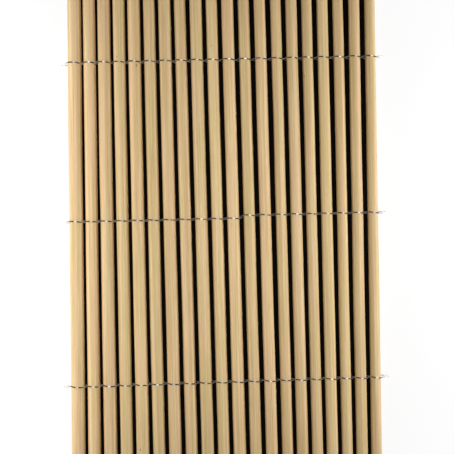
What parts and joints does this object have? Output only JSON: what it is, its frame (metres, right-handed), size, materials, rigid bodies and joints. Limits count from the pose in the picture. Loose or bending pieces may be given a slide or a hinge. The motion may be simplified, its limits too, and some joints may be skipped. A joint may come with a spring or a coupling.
{
  "type": "bamboo screening mat",
  "caption": "Flat screening mat of round hollow bamboo canes laid side by side and bound by rows of twisted galvanised wire, made to be tied to a fence, railing or frame.",
  "frame": {"origin": "centre of the underside, on the surface that the mat lies on", "axes": "+Y along the canes towards their thin upper ends, +X across the canes, +Z up out of the face; upright on a fence, +Y is up"},
  "size_m": [0.2944, 0.45, 0.0143],
  "materials": {
    "bamboo": "satin",
    "wire": "satin"
  },
  "bodies": {
    "root": {"cane_01": "bamboo", "cane_02": "bamboo", "cane_03": "bamboo", "cane_04": "bamboo", "cane_05": "bamboo", "cane_06": "bamboo", "cane_07": "bamboo", "cane_08": "bamboo", "cane_09": "bamboo", "cane_10": "bamboo", "cane_11": "bamboo", "cane_12": "bamboo", "cane_13": "bamboo", "cane_14": "bamboo", "cane_15": "bamboo", "cane_16": "bamboo", "cane_17": "bamboo", "cane_18": "bamboo", "cane_19": "bamboo", "cane_20": "bamboo", "lower_wire_a": "wire", "lower_wire_b": "wire", "middle_wire_a": "wire", "middle_wire_b": "wire", "upper_wire_a": "wire", "upper_wire_b": "wire"}
  },
  "joints": []
}
